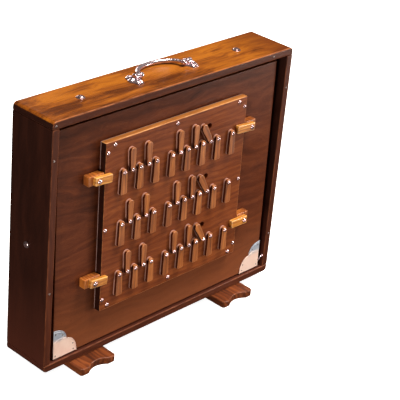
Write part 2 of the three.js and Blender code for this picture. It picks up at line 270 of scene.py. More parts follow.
def wood(name, light, middle, dark, rings=60.0, pith=(0.02, 0.05), wander=0.02, parts=(0.25, 1.6, 0.7),
         figure=(9, 42, 42), coat=0.25, specular=0.4, wear=0.5, worn=(190, 120, 74), foot=None, end=None):
    """Varnished wood. The grain attribute holds metres along, across and into the growth rings.

    parts says how much the growth rings, the broad figure and the fine streaks change the tone.
    foot is the height below which painted light makes the wood paler, how much it is paler and the paler
    colour.
    end is where painted shade starts and stops darkening the wood towards its +X end, how much, and the
    darker colour.
    """
    light, middle, dark = srgb(*light), srgb(*middle), srgb(*dark)
    g = Graph(name)
    along = g.attribute("grain")
    drift = g.noise(g.scaled(along, (5, 16, 16)), detail=3, rough=0.55, output="Color")
    offset = g.vector("MULTIPLY", g.vector("SUBTRACT", drift, (0.5, 0.5, 0.5)), (0, wander * 2, wander * 2))
    bent = g.vector("ADD", along, offset)
    ring = g.add(
        "TexWave",
        {"Vector": g.scaled(bent, (0.35, 1, 1), (0, pith[0], pith[1])), "Scale": rings, "Distortion": 3.0,
         "Detail": 3.0, "Detail Scale": 0.5, "Detail Roughness": 0.6},
        wave_type="RINGS", rings_direction="X", wave_profile="SIN",
    ).outputs["Fac"]
    broad = g.noise(g.scaled(bent, figure), detail=5, rough=0.6)
    streak = g.noise(g.scaled(bent, (18, 620, 620)), detail=3, rough=0.65)
    value = 0.5
    for source, part in zip((ring, broad, streak), parts):
        value = g.math("ADD", value, g.swing(source, part))
    tone = g.ramp(value, [(0.15, dark), (0.5, middle), (0.85, light)])
    # painted light: the wood is paler towards the bottom
    if foot:
        below, amount, paler = foot
        fade = g.span(g.uneven("Z", broad, 0.08), 0.2 * below, below, amount, 0.0)
        tone = g.mix(fade, tone, srgb(*paler))
    # painted shade: the wood is darker towards its +X end
    if end:
        near, far, amount, darker = end
        tone = g.mix(g.span(g.uneven("X", broad, 0.2), near, far, 0.0, amount), tone, srgb(*darker))
    pore = g.noise(g.scaled(bent, (160, 2600, 2600)), detail=2, rough=0.6)
    pores = g.span(pore, 0.6, 0.72)
    tone = g.mix(g.math("MULTIPLY", pores, 0.4), tone, tuple(0.4 * c for c in dark[:3]) + (1,))
    rub = g.noise(g.scaled(along, (60, 240, 240)), detail=3)
    edge = g.math("MULTIPLY", g.attribute("wear", "Fac"), g.span(rub, 0.35, 0.62, 0.1 * wear, wear))
    tone = g.mix(edge, tone, srgb(*worn))
    smudge = g.noise(g.scaled(along, (14, 22, 22)), detail=3)
    rough = g.math("ADD", g.span(smudge, 0.3, 0.7, 0.31, 0.45), g.math("MULTIPLY", pores, 0.15))
    height = g.math("SUBTRACT", g.math("MULTIPLY", streak, 0.35), g.math("MULTIPLY", pores, 0.6))
    fixed = {"coat_weight": coat, "coat_roughness": 0.14, "specular_ior_level": specular}
    return g.surface(tone, rough, g.bump(height, 0.3, 0.0002), **fixed)


def metal(name, bright, dull, rough, cloud=0.0, stain=None, metallic=1.0):
    """Plated or bare metal with fine scratches, and a stain that gathers in patches."""
    g = Graph(name)
    place = g.place()
    scratch = g.noise(g.scaled(place, (3000, 300, 900)), detail=3, rough=0.7)
    haze = g.noise(g.scaled(place, (120, 120, 120)), detail=3)
    colour = g.mix(g.span(haze, 0.35, 0.7), srgb(*bright), srgb(*dull))
    if stain:
        colour = g.mix(g.span(haze, 0.55, 0.75, 0, cloud), colour, srgb(*stain))
    roughness = g.span(scratch, 0.3, 0.7, rough - 0.03, rough + 0.06)
    return g.surface(colour, roughness, g.bump(scratch, 0.08, 0.0001), metallic=metallic)


def leather(name, colour, dye_and_groove_shade, rough, grain, sheen=0.0):
    """Soft leather: pebbled cells, broad stretch marks and a slightly uneven dye, with painted shade in the
    grooves between cells.
    """
    colour, dye_and_groove_shade = srgb(*colour), srgb(*dye_and_groove_shade)
    g = Graph(name)
    place = g.place()
    pebbles = g.add("TexVoronoi", {"Vector": place, "Scale": grain}, feature="DISTANCE_TO_EDGE")
    cell = pebbles.outputs["Distance"]
    dye = g.noise(g.scaled(place, (60, 60, 60)), detail=4)
    tone = g.mix(g.span(dye, 0.35, 0.7, 0, 0.5), colour, dye_and_groove_shade)
    # painted shade: darker in the grooves between pebbles
    tone = g.mix(g.span(cell, 0.0, 0.12, 0.5, 0.0), tone, dye_and_groove_shade)
    roughness = g.span(dye, 0.3, 0.7, rough - 0.06, rough + 0.06)
    height = g.math("MINIMUM", cell, 0.25)
    return g.surface(tone, roughness, g.bump(height, 0.5, 0.0003), sheen_weight=sheen)


def sheet_with_painted_reflection(name):
    """Nickel sheet, pale and warm low down, partly its own colour and partly painted reflection, and
    blue-grey in its upper lobe: a painted reflection.
    """
    g = Graph(name)
    place = g.place()
    haze = g.noise(g.scaled(place, (90, 90, 90)), detail=3)
    warm_tone_and_reflection = g.mix(g.span(haze, 0.35, 0.7), srgb(244, 216, 200), srgb(238, 204, 188))
    painted_blue_reflection = g.mix(g.span(haze, 0.35, 0.7), srgb(176, 182, 192), srgb(146, 156, 170))
    # painted reflection: blue-grey above a height on the sheet, pale warm below
    colour = g.mix(g.span(g.uneven("Z", haze, 0.008), 0.043, 0.05), warm_tone_and_reflection, painted_blue_reflection)
    scratch = g.noise(g.scaled(place, (300, 900, 2600)), detail=3, rough=0.7)
    roughness = g.span(scratch, 0.3, 0.7, 0.32, 0.44)
    return g.surface(colour, roughness, g.bump(scratch, 0.08, 0.0001), metallic=0.3)


EDGE = {"rings": 40, "parts": (0.15, 0.8, 0.6), "figure": (5, 50, 50), "coat": 0.03, "specular": 0.1}
DARK_SIDE = {**EDGE, "figure": (9, 50, 50), "coat": 0.0, "specular": 0.08, "wear": 0.1}
FITTING = {"rings": 60, "parts": (0.3, 1.4, 1.0), "figure": (20, 80, 80)}
WOODS = {
    # case_wood, edge_wood and side_wood are one wood in tones chosen by facing: the paler ones are painted
    # light, and side_wood's darkness is partly its own tone and partly painted shade.
    "case_wood": ((166, 97, 25), (132, 70, 19), (80, 38, 12), {
        "rings": 26, "pith": (0.01, 0.02), "parts": (0.4, 1.5, 1.5), "figure": (1.6, 60, 60), "coat": 0.05,
        # end: painted shade, darker towards the top's +X end
        "specular": 0.15, "end": (0.13, 0.19, 0.8, (94, 42, 14))}),
    "side_wood": ((62, 31, 21), (46, 22, 15), (32, 14, 9), {
        # side_wood's foot is painted light: paler towards the bottom of the sides
        **EDGE, "wear": 0.15, "worn": (96, 52, 38), "foot": (0.13, 0.8, (78, 39, 28))}),
    "edge_wood": ((90, 46, 27), (73, 35, 21), (54, 25, 14), {**EDGE, "wear": 0.3, "worn": (170, 100, 62)}),
    # The reed board's faces turned up, drawn in a paler tone of the same wood: painted light.
    "edge_light": ((190, 124, 60), (162, 100, 44), (120, 66, 28), {
        "rings": 40, "parts": (0.15, 1.2, 0.9), "figure": (9, 50, 50), "coat": 0.2, "worn": (235, 180, 120)}),
    "board_wood": ((106, 55, 29), (85, 41, 22), (59, 27, 14), {
        "rings": 24, "pith": (0.03, 0.015), "wander": 0.045, "parts": (0.15, 1.0, 0.6),
        "figure": (11, 66, 66), "coat": 0.02, "specular": 0.08, "wear": 0.1, "worn": (110, 62, 40),
        # board_wood's foot is painted light: paler towards the bottom of the boards
        "foot": (0.12, 0.4, (150, 88, 54))}),
    "reed_board_wood": ((137, 74, 35), (111, 55, 26), (82, 37, 18), {
        "rings": 40, "parts": (0.15, 0.9, 0.9), "figure": (5, 60, 60), "coat": 0.04, "specular": 0.12,
        "worn": (205, 134, 80)}),
    "dark_edge": ((50, 23, 14), (38, 16, 10), (22, 10, 7), {**DARK_SIDE, "worn": (60, 34, 24)}),
    "lever_side": ((84, 34, 14), (66, 25, 10), (42, 16, 7), {**DARK_SIDE, "worn": (80, 40, 24)}),
    "lever_wood": ((172, 104, 48), (140, 78, 34), (100, 52, 24), {
        "wander": 0.01, "parts": (0.2, 1.5, 0.9), "figure": (20, 70, 70), "worn": (206, 142, 92)}),
    "button_wood": ((222, 156, 62), (184, 116, 40), (140, 80, 24), {
        **FITTING, "coat": 0.4, "worn": (255, 214, 150)}),
    "block_wood": ((184, 108, 40), (146, 78, 28), (98, 50, 20), {
        **FITTING, "coat": 0.3, "wear": 0.3, "worn": (205, 130, 66)}),
    "foot_wood": ((132, 70, 34), (100, 49, 24), (66, 31, 16), {
        "rings": 50, "parts": (0.3, 1.6, 1.0), "figure": (8, 50, 50), "coat": 0.08, "specular": 0.2,
        "worn": (130, 76, 48)}),
}
METALS = {
    # The pink tint of chrome and screw_nickel, and the diffuse share left by a metallic below 1, are partly
    # painted reflection that lightens and warms their mid-tones.
    "chrome": ((232, 210, 216), (206, 180, 188), 0.2, {"metallic": 0.85}),
    "screw_nickel": ((212, 182, 182), (170, 142, 144), 0.24, {"metallic": 0.9}),
    "steel_nail": ((150, 140, 136), (96, 86, 82), 0.35, {"cloud": 0.6, "stain": (60, 46, 40)}),
    "brass": ((232, 190, 110), (196, 150, 78), 0.25, {"cloud": 0.5, "stain": (140, 96, 52)}),
}
LEATHERS = {
    "black_leather": ((40, 30, 28), (20, 15, 14), 0.55, {"grain": 1100}),
    "gasket_felt": ((150, 118, 110), (110, 80, 74), 0.9, {"grain": 1500, "sheen": 0.2}),
    "pad_leather": ((184, 132, 112), (146, 100, 84), 0.85, {"grain": 1700, "sheen": 0.3}),
    "cream_leather": ((214, 182, 174), (184, 148, 140), 0.85, {"grain": 1700, "sheen": 0.3}),
}
MATERIALS = {"nickel_sheet": sheet_with_painted_reflection("nickel_sheet")}
for recipe, table in ((wood, WOODS), (metal, METALS), (leather, LEATHERS)):
    for material_name, (*fixed_values, look) in table.items():
        MATERIALS[material_name] = recipe(material_name, *fixed_values, **look)


# ---- mesh helpers ----


def fresh():
    """An empty mesh whose faces can be marked as worn."""
    bm = bmesh.new()
    bm.faces.layers.float.new("wear")
    return bm


def extruded(outline, back, front, bevel=0.0, segments=2):
    """A solid with an outline in X and Z, from y=back to y=front, its sharp edges rounded and worn."""
    bm = fresh()
    face = bm.faces.new([bm.verts.new((x, back, z)) for x, z in outline])
    grown = bmesh.ops.extrude_face_region(bm, geom=[face])["geom"]
    far_side = [v for v in grown if isinstance(v, bmesh.types.BMVert)]
    bmesh.ops.translate(bm, verts=far_side, vec=(0, front - back, 0))
    bmesh.ops.recalc_face_normals(bm, faces=bm.faces)
    if bevel > 0:
        edges = [e for e in bm.edges if e.is_manifold and e.calc_face_angle(0) > SHARP_ANGLE]
        made = bmesh.ops.bevel(bm, geom=edges, offset=bevel, segments=segments, profile=0.5,
                               affect="EDGES", clamp_overlap=True)
        wear = bm.faces.layers.float["wear"]
        for face in made["faces"]:
            face[wear] = 1.0
    return bm


def rectangle(left, low, right, high):
    return [(left, low), (right, low), (right, high), (left, high)]


def arc(x, z, radius, start, end, steps):
    """Points on an arc, in degrees anticlockwise from +X."""
    turns = [math.radians(start + (end - start) * k / steps) for k in range(steps + 1)]
    return [(x + radius * math.cos(t), z + radius * math.sin(t)) for t in turns]


def bezier(points, steps):
    out = []
    for k in range(steps + 1):
        t = k / steps
        weights = ((1 - t) ** 3, 3 * t * (1 - t) ** 2, 3 * t * t * (1 - t), t ** 3)
        out.append(tuple(sum(w * p[i] for w, p in zip(weights, points)) for i in (0, 1)))
    return out


def rounded_rectangle(left, low, right, high, radius, steps):
    return (arc(right - radius, low + radius, radius, -90, 0, steps)
            + arc(right - radius, high - radius, radius, 0, 90, steps)
            + arc(left + radius, high - radius, radius, 90, 180, steps)
            + arc(left + radius, low + radius, radius, 180, 270, steps))


def lathe(profile, sides):
    """A solid of revolution about Z from (radius, height) points that start and end on the axis."""
    bm = fresh()
    rings = []
    for radius, height in profile:
        if radius < 1e-6:
            rings.append([bm.verts.new((0, 0, height))])
            continue
        turns = [2 * math.pi * k / sides for k in range(sides)]
        rings.append([bm.verts.new((radius * math.cos(t), radius * math.sin(t), height)) for t in turns])
    for low, high in zip(rings, rings[1:]):
        for k in range(sides):
            after = (k + 1) % sides
            if len(low) == 1:
                bm.faces.new([low[0], high[after], high[k]])
            elif len(high) == 1:
                bm.faces.new([low[k], low[after], high[0]])
            else:
                bm.faces.new([low[k], low[after], high[after], high[k]])
    bmesh.ops.recalc_face_normals(bm, faces=bm.faces)
    return bm


def bridge(bm, first, second):
    """Faces between two rings of the same number of points."""
    for k in range(len(first)):
        after = (k + 1) % len(first)
        bm.faces.new([first[k], first[after], second[after], second[k]])


def skinned(bm, rings):
    """Closes rings of points into a bar with flat ends."""
    for low, high in zip(rings, rings[1:]):
        bridge(bm, low, high)
    bm.faces.new(list(reversed(rings[0])))
    bm.faces.new(rings[-1])
    bmesh.ops.recalc_face_normals(bm, faces=bm.faces)
    return bm


def sweep(points, radii, sides):
    """A round bar through points in the XZ plane."""
    bm = fresh()
    rings = []
    for k, (point, radius) in enumerate(zip(points, radii)):
        before, after = points[max(k - 1, 0)], points[min(k + 1, len(points) - 1)]
        tangent = (Vector(after) - Vector(before)).normalized()
        side = Vector((0, 1, 0))
        up = tangent.cross(side).normalized()
        ring = []
        for j in range(sides):
            turn = 2 * math.pi * j / sides
            offset = up * (radius * math.cos(turn)) + side * (radius * math.sin(turn))
            ring.append(bm.verts.new(Vector(point) + offset))
        rings.append(ring)
    return skinned(bm, rings)


def tube(points, radius, sides=8):
    """A round wire along 3-D points."""
    bm = fresh()
    spots = [Vector(point) for point in points]
    up, rings = Vector((0.3, 0.2, 1)).normalized(), []
    for k, spot in enumerate(spots):
        tangent = (spots[min(k + 1, len(spots) - 1)] - spots[max(k - 1, 0)]).normalized()
        side = tangent.cross(up).normalized()
        up = side.cross(tangent)
        turns = [2 * math.pi * j / sides for j in range(sides)]
        rings.append([bm.verts.new(spot + radius * (side * math.cos(t) + up * math.sin(t))) for t in turns])
    return skinned(bm, rings)


def add(target, source, matrix, slot=0):
    """Adds a copy of source, moved by matrix, to target, with its faces in a material slot."""
    copy = source.copy()
    if matrix is not None:
        copy.transform(matrix)
    for face in copy.faces:
        face.material_index = slot
    scratch = bpy.data.meshes.new("scratch")
    copy.to_mesh(scratch)
    copy.free()
    target.from_mesh(scratch)
    bpy.data.meshes.remove(scratch)


def gathered(parts):
    """One mesh from (source, matrix, slot) triples."""
    bm = fresh()
    for source, matrix, slot in parts:
        add(bm, source, matrix, slot)
    return bm


def build(name, bm, materials, matrix=IDENTITY, smooth=True):
    """A linked object in metres from a mesh drawn in millimetres, placed by matrix."""
    mesh = bpy.data.meshes.new(name)
    bm.to_mesh(mesh)
    bm.free()
    made = bpy.data.objects.new(name, mesh)
    SCENE.collection.objects.link(made)
    for material in materials:
        mesh.materials.append(MATERIALS[material])
    if smooth:
        mesh.shade_smooth()
    mesh.transform(matrix)
    mesh.transform(Matrix.Scale(MM, 4))
    return made


def set_grain(made, along, turn=None):
    """Stores, at each vertex, metres along, across and into the wood, from a place of its own."""
    mesh = made.data
    count = len(mesh.vertices)
    places = np.empty(count * 3, np.float32)
    mesh.vertices.foreach_get("co", places)
    places = places.reshape(-1, 3)
    if turn is not None:
        places = places @ np.array(turn.to_3x3(), np.float32)
    order = {"X": (0, 2, 1), "Y": (1, 0, 2), "Z": (2, 0, 1)}[along]
    draw = random.Random(made.name)
    shift = np.array([draw.uniform(-reach, reach) for reach in GRAIN_SHIFT], np.float32)
    stored = mesh.attributes.new("grain", "FLOAT_VECTOR", "POINT")
    stored.data.foreach_set("vector", (places[:, order] + shift).ravel())
    return made


def cut(made, cutter_bm, matrix):
    """Subtracts a closed mesh in millimetres from an object."""
    cutter = build("cutter", cutter_bm, [], matrix, smooth=False)
    modifier = made.modifiers.new("cut", "BOOLEAN")
    modifier.operation = "DIFFERENCE"
    modifier.solver = "EXACT"
    modifier.object = cutter
    bpy.context.view_layer.update()
    cut_shape = made.evaluated_get(bpy.context.evaluated_depsgraph_get())
    result = bpy.data.meshes.new_from_object(cut_shape)
    made.modifiers.clear()
    old = made.data
    made.data = result
    result.name = made.name
    bpy.data.meshes.remove(old)
    bpy.data.objects.remove(cutter)


def settle(made, body, slot, *nodes):
    """Even shading, then the body it rides and the CAD nodes it stands for. The slot argument, the finish it
    takes, is not used.
    """
    weighted = made.modifiers.new("shading", "WEIGHTED_NORMAL")
    weighted.keep_sharp = True
    made.data.set_sharp_from_angle(angle=SHADING_ANGLE)
    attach(made, body)
    if nodes:
        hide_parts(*nodes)


def facing(frame_matrix, x, z, depth):
    """Places a lathe drawn along +Z so that it stands on a board's front at (x, z)."""
    return frame_matrix @ moved(x, depth, z) @ turned(90, "X")


def drilled(made, holes, radius, sides, place, depth=0.0):
    """Cuts round holes right through a board at (x, z) places."""
    drill = lathe([(0, -DRILL_REACH), (radius, -DRILL_REACH), (radius, DRILL_REACH), (0, DRILL_REACH)], sides)
    cutters = bmesh.new()
    for x, z in holes:
        add(cutters, drill, facing(IDENTITY, x, z, depth))
    cut(made, cutters, place)


def screw_head(radius, height, slot_width, slot_turn):
    """A domed head with a slot and a low rim, its flat side on z = 0."""
    profile = [(0, -0.4), (radius * 0.96, -0.4), (radius, 0.12 * height), (radius * 0.97, 0.3 * height)]
    for k in range(1, 6):
        turn = math.radians(18 + 72 * k / 6)
        profile.append((radius * math.cos(turn), height * (0.25 + 0.75 * math.sin(turn))))
    profile.append((0, height))
    made = build("head", lathe(profile, 18), [])
    half = slot_width / 2
    groove = extruded(rectangle(-radius * 1.2, height * 0.62, radius * 1.2, height * 1.5), -half, half)
    cut(made, groove, Matrix.Rotation(slot_turn, 4, "Z"))
    mesh = made.data
    bm = bmesh.new()
    bm.from_mesh(mesh)
    bm.transform(Matrix.Scale(1 / MM, 4))
    bpy.data.objects.remove(made)
    bpy.data.meshes.remove(mesh)
    return bm


def fasten(name, body, heads, material="screw_nickel"):
    settle(build(name, gathered(heads), [material]), body, "chrome")


# ---- case ----


def cap_outline():
    """Section of the top board: square below, rounded at its outer corners."""
    half, centre = CASE_HALF, WALL - CORNER_RADIUS
    return ([(-half, 0), (half, 0)] + arc(half - CORNER_RADIUS, centre, CORNER_RADIUS, 0, 90, 8)
            + arc(CORNER_RADIUS - half, centre, CORNER_RADIUS, 90, 180, 8))


def paint_front(made):
    """Gives a board's front face its second material, a lighter tone than its other faces: painted light on
    the front and painted shade on the rest.
    """
    for face in made.data.polygons:
        face.material_index = int(face.normal.y < -0.5)


def make_case():
    low, high = CASE_LOW.z + WALL, CASE_HIGH.z - WALL
    cap = extruded(cap_outline(), BACK_Y, FRONT_Y, 1.4, 3)
    top = build("case_top", cap, ["case_wood", "side_wood", "edge_wood"], moved(z=high))
    # The top's faces take three tones of one wood by the way they face: golden case_wood on top, edge_wood on
    # the front, side_wood elsewhere. The differences are painted light and shade.
    for face in top.data.polygons:
        face.material_index = 0 if face.normal.z > 0.6 else (2 if face.normal.y < -0.5 else 1)
    settle(set_grain(top, "X"), "case", "teak", "top_board")
    cap = extruded(cap_outline(), -BACK_Y, -FRONT_Y, 1.4, 3)
    bottom = build("case_bottom", cap, ["side_wood", "edge_wood"], moved(z=low) @ turned(180, "X"))
    paint_front(bottom)
    settle(set_grain(bottom, "X"), "case", "teak", "bottom_board")
    for side, sign in SIDES:
        ends = sorted((sign * CASE_HALF, sign * (CASE_HALF - WALL)))
        shape = extruded(rectangle(ends[0], low, ends[1], high), BACK_Y, FRONT_Y, 1.2, 3)
        board = build(f"case_side_{side}", shape, ["side_wood", "edge_wood"])
        paint_front(board)
        settle(set_grain(board, "Z"), "case", "teak", f"{side}_side")

    inner = CASE_HALF - WALL - GAP
    outline = rectangle(-inner, low + GAP, inner, high - GAP)
    shape = extruded(outline, CENTRE_BOARD_HALF, -CENTRE_BOARD_HALF, 0.5, 1)
    place = moved(y=CENTRE_BOARD_Y)
    board = build("case_centre_board", shape, ["board_wood"], place)
    drilled(board, VALVE_PLACES, VALVE_RADIUS, 32, place)
    settle(set_grain(board, "X"), "case", "dark_walnut", "centre_board")


def make_case_screws():
    heads = []
    for x in TOP_SCREWS:
        place = moved(x, 0, CASE_HIGH.z)
        heads.append((screw_head(4.3, 2.6, 0.9, x), place, 0))
        heads.append((lathe([(0, -0.3), (5.6, -0.3), (5.6, 0.2), (5.0, 0.6), (0, 0.6)], 24), place, 0))
    for _, sign in SIDES:
        place = moved(sign * CASE_HALF, CENTRE_BOARD_Y, SIDE_SCREW_Z)
        heads.append((screw_head(4.5, 2.4, 0.9, 0.5), place @ turned(90 * sign, "Y"), 0))
    fasten("case_screws", "case", heads)


# ---- handle ----


def make_handle():
    """The bail: a bent bar that swells in the middle, with a collar and an eye at each end."""
    reach, arm = HANDLE_DEPTH / 0.75, HANDLE_HALF_SPAN - HANDLE_FLARE
    corners = [(-HANDLE_HALF_SPAN, 0), (-arm, reach), (arm, reach), (HANDLE_HALF_SPAN, 0)]
    steps = 72
    points, radii = [], []
    for k, (x, z) in enumerate(bezier(corners, steps)):
        t = k / steps
        collar = sum(math.exp(-((t - middle) / 0.011) ** 2) for middle in (0.1, 0.14, 0.86, 0.9))
        points.append((x, 0, z))
        radii.append(2.2 + 0.7 * math.sin(math.pi * t) ** 0.8 + 0.55 * min(collar, 1))
    parts = [(sweep(points, radii, 20), None, 0)]
    eye = lathe([(0, -2.7), (2.4, -2.7), (3.2, -2.1), (3.4, -1.2), (3.4, 1.2), (3.2, 2.1), (2.4, 2.7),
                 (0, 2.7)], 24)
    pin = lathe([(0, -4.6), (1.3, -4.6), (1.3, 3.3), (1.0, 3.7), (0, 3.9)], 14)
    for _, sign in SIDES:
        place = moved(sign * HANDLE_HALF_SPAN) @ turned(-90 * sign, "Y")
        parts += [(eye, place, 0), (pin, place, 0)]
    place = moved(*HANDLE_PIVOT) @ turned(-HANDLE_DROOP - 90, "X")
    bar = build("handle_grip", gathered(parts), ["chrome"], place)
    settle(bar, "handle", "chrome", "handle_bar")
    for side, sign in SIDES:
        make_handle_plate(side, sign)


def leaf_plate(half_x, half_y):
    """A domed plate on z = 0 whose rim and ribs swell into leaves around a rosette."""
    lobes, rings, sides = 6, 12, 72
    bm = fresh()
    grid = []
    for j in range(1, rings + 1):
        f = j / rings
        ring = []
        for k in range(sides):
            turn = 2 * math.pi * k / sides
            leaf = math.cos(lobes * turn)
            reach = f * (1 + 0.07 * (leaf - 1) * f ** 2)
            crown = 3.4 * (1 - f ** 2.4) ** 0.7
            groove = 0.75 * leaf * math.sin(math.pi * f) - 0.7 * math.exp(-((f - 0.45) / 0.09) ** 2)
            ring.append(bm.verts.new((half_x * reach * math.cos(turn), half_y * reach * math.sin(turn),
                                      0.7 + crown + groove)))
        grid.append(ring)
    peak = bm.verts.new((0, 0, 4.2))
    base = [bm.verts.new((v.co.x, v.co.y, -0.2)) for v in grid[-1]]
    for k in range(sides):
        after = (k + 1) % sides
        bm.faces.new([peak, grid[0][k], grid[0][after]])
        for low, high in zip(grid, grid[1:]):
            bm.faces.new([low[k], high[k], high[after], low[after]])
        bm.faces.new([grid[-1][k], base[k], base[after], grid[-1][after]])
    bm.faces.new(list(reversed(base)))
    bmesh.ops.recalc_face_normals(bm, faces=bm.faces)
    return bm


def make_handle_plate(side, sign):
    place = moved(sign * HANDLE_PLATE_X, 0, CASE_HIGH.z)
    middle = (BARREL_INNER + BARREL_OUTER) / 2
    half = (BARREL_OUTER - BARREL_INNER) / 2
    r = BARREL_RADIUS
    barrel = lathe([(0, -half), (r - 1.2, -half), (r - 0.3, 0.5 - half), (r, 1.2 - half), (r * 0.86, 0),
                    (r, half - 1.2), (r - 0.3, half - 0.5), (r - 1.2, half), (0, half)], 28)
    parts = [
        (leaf_plate(8.9, 13.4), place, 0),
        (barrel, moved(sign * middle, 0, HANDLE_PIVOT.z) @ turned(90, "Y"), 0),
    ]
    for y in (-8.8, 8.8):
        parts.append((screw_head(2.5, 1.6, 0.6, 0.7 * y), place @ moved(sign * 0.8, y, 2.6), 0))
    made = build(f"handle_mount_{side}", gathered(parts), ["chrome"])
    settle(made, "case", "chrome", f"handle_plate_{side}")


# ---- feet ----


def make_feet():
    """Flat feet with a rounded lobe at each corner and a shallow scallop between the lobes."""
    corner, lobe_width, scallop, steps = 4.0, 12.0, 12.0, 12
    for side, _ in SIDES:
        low, high = box_mm(f"foot_{side}")
        half, end, thick = (high.x - low.x) / 2, high.y, high.z
        outline = []
        for sign in (-1, 1):
            turn = 180 if sign < 0 else 0
            lobe = sign * (half - lobe_width)
            outline += arc(sign * (half - corner), sign * (end - corner), corner, turn, turn + 90, 6)
            for k in range(steps + 1):
                t = k / steps
                reach = end * ((1 - t) ** 2 + t ** 2) + (end - scallop) * 2 * t * (1 - t)
                outline.append((lobe * (1 - t) ** 2 + -lobe * t ** 2, sign * reach))
            outline += arc(-sign * (half - corner), sign * (end - corner), corner, turn + 90, turn + 180, 6)
        flat = moved((low.x + high.x) / 2) @ turned(-90, "X")
        foot = build(f"swivel_foot_{side}", extruded(outline, 0, -thick, 1.1, 3), ["foot_wood"], flat)
        settle(set_grain(foot, "Y"), f"{side}_foot", "teak", f"foot_{side}")


# ---- reservoir board ----


def window():
    """The opening behind the reed board."""
    half = REED_HALF - WINDOW_MARGIN
    return rectangle(-half, REED_BASE + WINDOW_MARGIN, half, REED_BASE + REED_HEIGHT - WINDOW_MARGIN)


def make_front_board():
    shape = extruded(rectangle(-BOARD_HALF, 0, BOARD_HALF, RESERVOIR_HEIGHT), 0, -BOARD_THICK, 1.2, 3)
    board = build("reservoir_board", shape, ["board_wood"], BOARD)
    cut(board, extruded(window(), 5, -BOARD_THICK - 5), BOARD)
    settle(set_grain(board, "X"), "reservoir", "dark_walnut", "front_board")
    half, low, high = REED_HALF - 0.6, REED_BASE + 0.6, REED_BASE + REED_HEIGHT - 0.6
    outline = rectangle(-half, low, half, high)
    made = build("reed_board_gasket", extruded(outline, -BOARD_THICK - 0.02, REED_FOOT, 0.2, 1),
                 ["gasket_felt"], BOARD)
    cut(made, extruded(window(), 5, -BOARD_THICK - 15), BOARD)
    settle(made, "reservoir", "cream_leather")


def points_up(node):
    """1 for a sharp's lever, which points up from its pivot, and -1 for a natural's, which points down."""
    return 1 if node.endswith("_sharp") else -1


def lever_nodes():
    return [node for node in NODES if node.startswith("lever_")]


def lever_place(node):
    """A lever's pivot in the reservoir board's frame, in millimetres, on the reed board's face."""
    body = node.replace("lever_", "stop_")
    return BOARD.inverted() @ (PIVOTS[body] / MM)


def make_reed_board():
    outline = rectangle(-REED_HALF, REED_BASE, REED_HALF, REED_BASE + REED_HEIGHT)
    shape = extruded(outline, REED_FOOT, REED_FACE, 1.1, 3)
    board = build("reed_board_panel", shape, ["reed_board_wood", "edge_light", "dark_edge"], BOARD)
    # Faces turned up take a paler tone: painted light. The sides take the dark edge tone.
    for face in board.data.polygons:
        face.material_index = 1 if face.normal.z > 0.5 else (2 if abs(face.normal.x) > 0.6 else 0)
    places = []
    for node in lever_nodes():
        pivot = lever_place(node)
        places.append((pivot.x, pivot.z + points_up(node) * AIR_HOLE_REACH))
    drilled(board, places, AIR_HOLE_RADIUS, 24, BOARD, REED_FACE)
    settle(set_grain(board, "X"), "reservoir", "reed_board_wood", "reed_board")


def lever_outline(up, proud=0.0):
    """A sharp's lever has a round end above its pivot; a natural's has a square one below."""
    if up > 0:
        pivot, end = SHARP_PIVOT_RADIUS + proud, SHARP_END_RADIUS + proud
        return arc(0, 0, pivot, 180, 360, 14) + arc(0, LEVER_REACH - 0.1 - SHARP_END_RADIUS, end, 0, 180, 16)
    pivot, half, corner = NATURAL_PIVOT_RADIUS + proud, NATURAL_END_HALF + proud, NATURAL_CORNER + proud
    low = 0.1 + NATURAL_CORNER - LEVER_REACH
    return (arc(0, 0, pivot, 0, 180, 14) + arc(corner - half, low, corner, 180, 270, 4)
            + arc(half - corner, low, corner, 270, 360, 4))


def make_lever(node):
    """A stop lever: a tapered wooden arm on a thick leather pad, up for sharps, down for naturals."""
    pivot = lever_place(node)
    up = points_up(node)
    arm = extruded(lever_outline(up), -PAD_THICK, -LEVER_THICK, 0.7, 3)
    pad = extruded(lever_outline(up, 0.25), 0.2, -PAD_THICK, 0.35, 2)
    angle = -OPEN_ANGLE if node.endswith("a_sharp") else 0
    place = BOARD @ moved(*pivot) @ turned(angle, "Y")
    made = build("stop_" + node, gathered([(arm, None, 0), (pad, None, 1)]),
                 ["lever_wood", "pad_leather", "lever_side"], place)
    for face in made.data.polygons:
        if face.material_index == 0 and abs(face.normal.x) > 0.6:
            face.material_index = 2
    set_grain(made, "Z", place)
    settle(made, node.replace("lever_", "stop_"), "lever_wood", node)


def make_lever_screws():
    for row in ("top", "middle", "bottom"):
        heads = []
        for node in lever_nodes():
            if node.startswith(f"lever_{row}_"):
                pivot = lever_place(node)
                draw = random.Random(node)
                place = facing(BOARD, pivot.x, pivot.z, pivot.y - LEVER_THICK)
                heads.append((screw_head(2.6, 2.0, 0.7, draw.uniform(0, 3)), place, 0))
        fasten(f"stop_screws_{row}", "reservoir", heads)


def make_panel_screws():
    heads = []
    for x, z in PANEL_SCREWS:
        heads.append((screw_head(2.6, 1.9, 0.7, x + z), facing(BOARD, x, z, REED_FACE), 0))
    fasten("reed_board_screws", "reservoir", heads)


